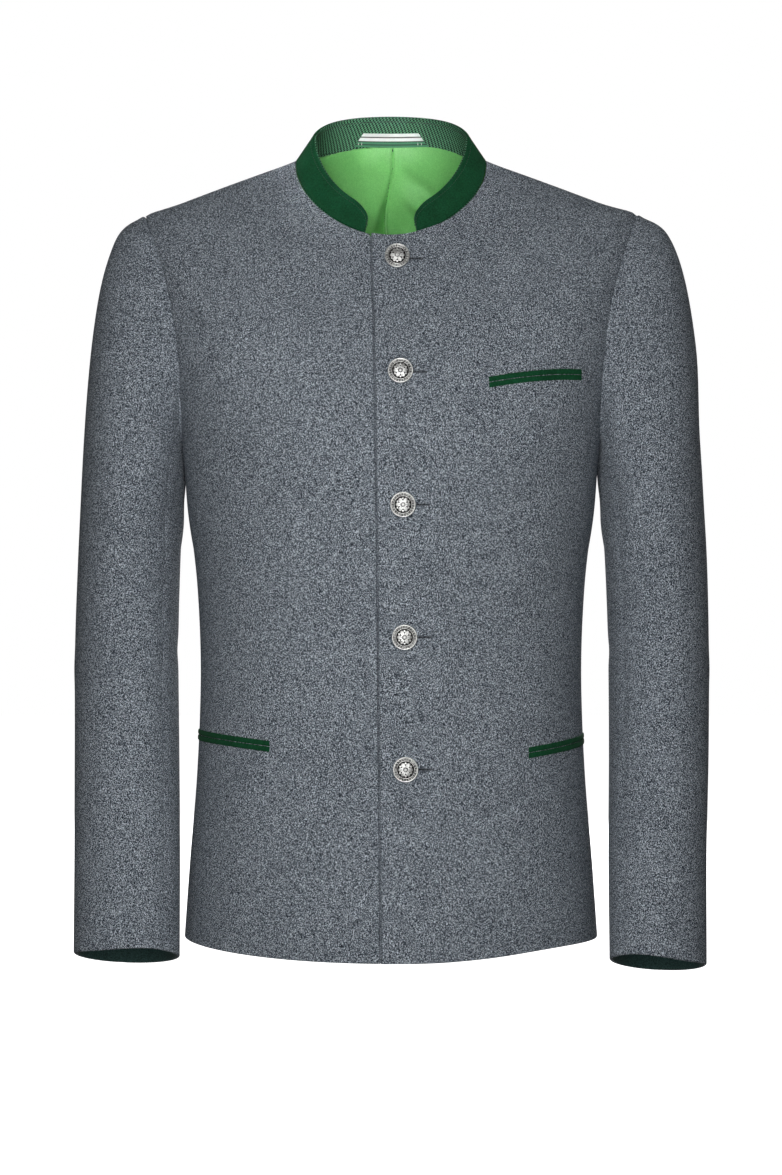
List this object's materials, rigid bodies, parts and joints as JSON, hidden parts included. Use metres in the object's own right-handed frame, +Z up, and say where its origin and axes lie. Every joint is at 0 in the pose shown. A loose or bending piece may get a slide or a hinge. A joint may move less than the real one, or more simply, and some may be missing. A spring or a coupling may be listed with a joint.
{
  "type": "tyrolean loden jacket",
  "caption": "Hip-length grey-blue loden jacket with a green stand collar, lapped button front, green-edged pockets and plain sleeves, hollow as worn.",
  "frame": {"origin": "on the centre plane between the shoulder seams, level with the side of the neck, where a wearer's shoulders carry the jacket", "axes": "+Z up, -Y out of the front, +X to the wearer's left"},
  "size_m": [0.5811, 0.2798, 0.7878],
  "materials": {
    "loden": "felted wool, blue-grey melange",
    "collar_cloth": "dark green felted wool",
    "collar_facing": "green and dark fine weave",
    "satin_lining": "bright green satin",
    "cuff_facing": "dark green cloth",
    "striped_tape": "woven tape, white and green stripes",
    "old_silver": "antique silver plate"
  },
  "bodies": {
    "root": {"front_left": "loden", "front_right": "loden", "back_left": "loden", "back_right": "loden", "sleeve_top_left": "loden", "sleeve_top_right": "loden", "sleeve_under_left": "loden", "sleeve_under_right": "loden", "collar": "collar_cloth", "collar_facing": "collar_facing", "back_lining_left": "satin_lining", "back_lining_right": "satin_lining", "cuff_facing_left": "cuff_facing", "cuff_facing_right": "cuff_facing", "hanger_loop": "striped_tape", "chest_left_jet_upper": "collar_cloth", "chest_left_jet_lower": "collar_cloth", "hip_left_jet_upper": "collar_cloth", "hip_left_jet_lower": "collar_cloth", "hip_right_jet_upper": "collar_cloth", "hip_right_jet_lower": "collar_cloth", "button_1": "old_silver", "button_2": "old_silver", "button_3": "old_silver", "button_4": "old_silver", "button_5": "old_silver"}
  },
  "joints": []
}
